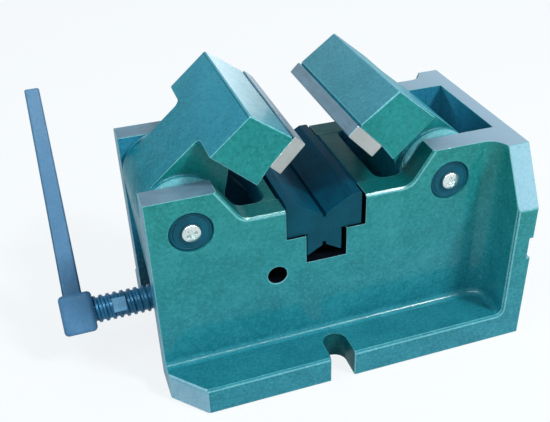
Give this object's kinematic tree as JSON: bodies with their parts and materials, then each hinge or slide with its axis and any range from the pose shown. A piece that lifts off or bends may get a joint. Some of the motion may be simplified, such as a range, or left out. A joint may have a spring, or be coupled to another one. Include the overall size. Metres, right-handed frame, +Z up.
{
  "type": "self-centring machine vise",
  "caption": "Self-centring bar vise: flanged box housing, bell-crank jaws on cross pins, reversible stepped vee block and a right- and left-hand screw turned by a crank lever.",
  "frame": {"origin": "on the foot's bottom face, midway between the two pivot pins and midway between the side walls", "axes": "+Z up from the foot, +X along the lead screw from the crank end towards the closed end plate, +Y towards the rear wall"},
  "size_m": [0.2591, 0.1523, 0.1587],
  "materials": {
    "housing_paint": "gloss hammered teal paint, ground bare on the top faces",
    "jaw_paint": "gloss hammered teal paint",
    "crank_paint": "semi-gloss blue paint",
    "vee_block_finish": "dark teal satin paint",
    "pin_steel": "ground steel",
    "cap_finish": "dark teal paint",
    "bright_screws": "bright zinc plate",
    "dark_screws": "black oxide",
    "plate_steel": "ground steel",
    "lead_screw_steel": "oiled dark steel",
    "bronze": "machined bronze"
  },
  "bodies": {
    "frame": {"body": "housing_paint", "vee_block": "vee_block_finish", "left_pivot_pin": "pin_steel", "right_pivot_pin": "pin_steel", "front_caps": "cap_finish", "rear_caps": "cap_finish", "cap_screws": "bright_screws", "bearing_bush": "bronze", "thrust_washer": "bronze"},
    "left_jaw": {"left_jaw": "jaw_paint", "left_jaw_plate": "plate_steel"},
    "right_jaw": {"right_jaw": "jaw_paint", "right_jaw_plate": "plate_steel"},
    "spindle": {"lead_screw": "lead_screw_steel", "thrust_collar": "pin_steel", "collar_pin": "pin_steel", "crank": "crank_paint", "crank_set_screw": "dark_screws"},
    "left_nut": {"left_nut": "bronze"},
    "right_nut": {"right_nut": "bronze"}
  },
  "joints": [
    {"name": "screw_turn", "type": "hinge", "parent": "frame", "child": "spindle", "pos_m": [0, 0, 0.0315], "axis": [1, 0, 0], "range_deg": [-720, 1440]},
    {"name": "left_jaw_swing", "type": "hinge", "parent": "frame", "child": "left_jaw", "pos_m": [-0.073, 0, 0.1005], "axis": [0, 1, 0], "range_deg": [-6.41, 12.81]},
    {"name": "right_jaw_swing", "type": "hinge", "parent": "frame", "child": "right_jaw", "pos_m": [0.073, 0, 0.1005], "axis": [0, -1, 0], "range_deg": [-6.41, 12.81]},
    {"name": "left_nut_travel", "type": "slide", "parent": "frame", "child": "left_nut", "axis": [-1, 0, 0], "range_m": [-0.00801, 0.01601]},
    {"name": "right_nut_travel", "type": "slide", "parent": "frame", "child": "right_nut", "axis": [1, 0, 0], "range_m": [-0.00801, 0.01601]}
  ],
  "couplings": [
    {"joint": "left_jaw_swing", "follows": "screw_turn", "ratio": 0.0088889},
    {"joint": "right_jaw_swing", "follows": "screw_turn", "ratio": 0.0088889},
    {"joint": "left_nut_travel", "follows": "screw_turn", "m_per_rad": 0.00063662},
    {"joint": "right_nut_travel", "follows": "screw_turn", "m_per_rad": 0.00063662}
  ]
}
